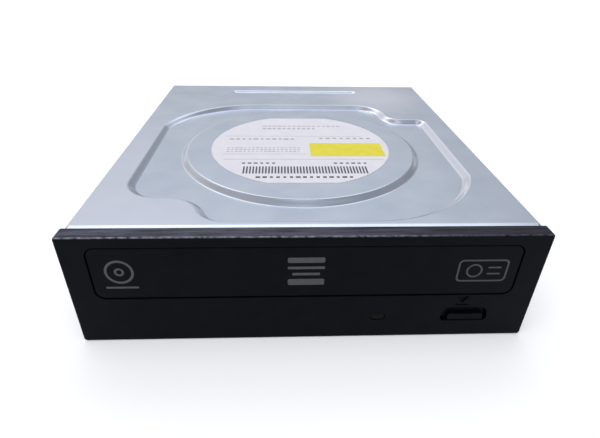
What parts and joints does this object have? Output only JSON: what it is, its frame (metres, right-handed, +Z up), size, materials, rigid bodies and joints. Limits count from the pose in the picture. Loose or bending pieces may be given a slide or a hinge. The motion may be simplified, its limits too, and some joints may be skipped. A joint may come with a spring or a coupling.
{
  "type": "internal optical disc drive",
  "caption": "Half-height desktop disc drive with a pressed steel case, black bezel, sliding disc tray, loading gears, tilting traverse, spindle and moving pickup.",
  "frame": {"origin": "centre of the underside", "axes": "+Z up, front bezel faces -Y, +X to the right seen from the front"},
  "size_m": [0.1482, 0.165, 0.0414],
  "materials": {
    "cover_steel": "satin galvanised sheet",
    "plate_steel": "plain galvanised sheet",
    "black_plastic": "fine textured black moulding",
    "lamp_plastic": "smoky clear light pipe",
    "label_paper": "satin white label stock",
    "frame_plastic": "black moulding",
    "tray_plastic": "black moulding",
    "gear_plastic": "natural acetal",
    "motor_steel": "plated can",
    "rod_steel": "ground rod",
    "screw_steel": "zinc plated",
    "belt_rubber": "matt black rubber",
    "turntable_plastic": "black moulding",
    "sled_metal": "die cast",
    "pickup_plastic": "black moulding",
    "lens_glass": "coated lens",
    "board_laminate": "green board",
    "can_aluminium": "plain can",
    "ribbon_film": "white flat cable"
  },
  "bodies": {
    "case": {"top_cover": "cover_steel", "bottom_cover": "plate_steel", "case_screws": "screw_steel", "top_label": "label_paper", "front_bezel": "black_plastic", "led_lens": "lamp_plastic", "chassis": "frame_plastic", "loading_motor": "motor_steel", "motor_screws": "screw_steel", "drive_belt": "belt_rubber", "clamp_bridge": "plate_steel", "bridge_screws": "screw_steel", "main_board": "board_laminate", "rear_socket": "pickup_plastic", "controller_chip": "pickup_plastic", "driver_chip": "pickup_plastic", "board_capacitors": "can_aluminium", "ribbon_sockets": "pickup_plastic", "board_screws": "screw_steel", "front_board": "board_laminate", "front_board_screws": "screw_steel", "eject_switch": "pickup_plastic", "status_led": "lens_glass", "front_ribbon": "ribbon_film"},
    "tray": {"disc_tray": "tray_plastic", "tray_door": "black_plastic"},
    "button": {"eject_button": "black_plastic"},
    "plunger": {"switch_plunger": "pickup_plastic"},
    "motor_rotor": {"motor_shaft": "rod_steel", "motor_pulley": "gear_plastic"},
    "belt_gear": {"pulley_gear": "gear_plastic"},
    "tray_gear": {"drive_gear": "gear_plastic"},
    "cam": {"cam_slider": "gear_plastic"},
    "traverse": {"lift_frame": "frame_plastic", "damper_bushes": "belt_rubber", "damper_screws": "screw_steel", "pickup_base": "plate_steel", "guide_rods": "rod_steel", "feed_bracket": "plate_steel", "feed_motor": "motor_steel", "spindle_stator": "motor_steel"},
    "spindle": {"rotor_can": "motor_steel", "turntable": "turntable_plastic", "hub_magnet": "screw_steel", "turntable_mat": "belt_rubber", "centering_cone": "turntable_plastic"},
    "feed_screw": {"lead_screw": "rod_steel"},
    "pickup": {"pickup_sled": "sled_metal", "pickup_cover": "pickup_plastic", "objective_lens": "lens_glass", "feed_nut": "gear_plastic"},
    "clamper": {"clamper_puck": "turntable_plastic", "clamp_yoke": "screw_steel"}
  },
  "joints": [
    {"name": "tray_slide", "type": "slide", "parent": "case", "child": "tray", "axis": [0, -1, 0], "range_m": [0, 0.132]},
    {"name": "eject_press", "type": "slide", "parent": "case", "child": "button", "axis": [0, 1, 0], "range_m": [0, 0.0005], "stiffness_N_per_m": 2500},
    {"name": "plunger_press", "type": "slide", "parent": "case", "child": "plunger", "axis": [0, 1, 0], "range_m": [0, 0.0005]},
    {"name": "tray_gear_turn", "type": "hinge", "parent": "case", "child": "tray_gear", "pos_m": [-0.047, -0.0625, 0.02], "axis": [0, 0, 1], "continuous": true},
    {"name": "belt_gear_turn", "type": "hinge", "parent": "case", "child": "belt_gear", "pos_m": [-0.032, -0.0625, 0.016], "axis": [0, 0, 1], "continuous": true},
    {"name": "motor_turn", "type": "hinge", "parent": "case", "child": "motor_rotor", "pos_m": [0.002, -0.0585, 0.015], "axis": [0, 0, 1], "continuous": true},
    {"name": "traverse_lift", "type": "hinge", "parent": "case", "child": "traverse", "pos_m": [0, 0.0695, 0.015], "axis": [-1, 0, 0], "range_deg": [0, 5.2]},
    {"name": "cam_shift", "type": "slide", "parent": "case", "child": "cam", "axis": [-1, 0, 0], "range_m": [0, 0.0201]},
    {"name": "spindle_spin", "type": "hinge", "parent": "traverse", "child": "spindle", "pos_m": [0, -0.01262, 0.01255], "axis": [0, -0.0906, 0.9959], "continuous": true},
    {"name": "sled_feed", "type": "slide", "parent": "traverse", "child": "pickup", "axis": [0, 0.9959, 0.0906], "range_m": [0, 0.036]},
    {"name": "feed_screw_turn", "type": "hinge", "parent": "traverse", "child": "feed_screw", "pos_m": [0.036, 0.01726, 0.01527], "axis": [0, 0.9959, 0.0906], "continuous": true},
    {"name": "clamper_lift", "type": "slide", "parent": "case", "child": "clamper", "axis": [0, 0, 1], "range_m": [0, 0.0008]}
  ],
  "couplings": [
    {"joint": "plunger_press", "follows": "eject_press", "ratio": 1},
    {"joint": "tray_gear_turn", "follows": "tray_slide", "rad_per_m": 111.11},
    {"joint": "belt_gear_turn", "follows": "tray_slide", "rad_per_m": -166.67},
    {"joint": "motor_turn", "follows": "tray_slide", "rad_per_m": -614.75},
    {"joint": "cam_shift", "follows": "traverse_lift", "m_per_rad": 0.22051},
    {"joint": "feed_screw_turn", "follows": "sled_feed", "rad_per_m": 2094.4}
  ]
}
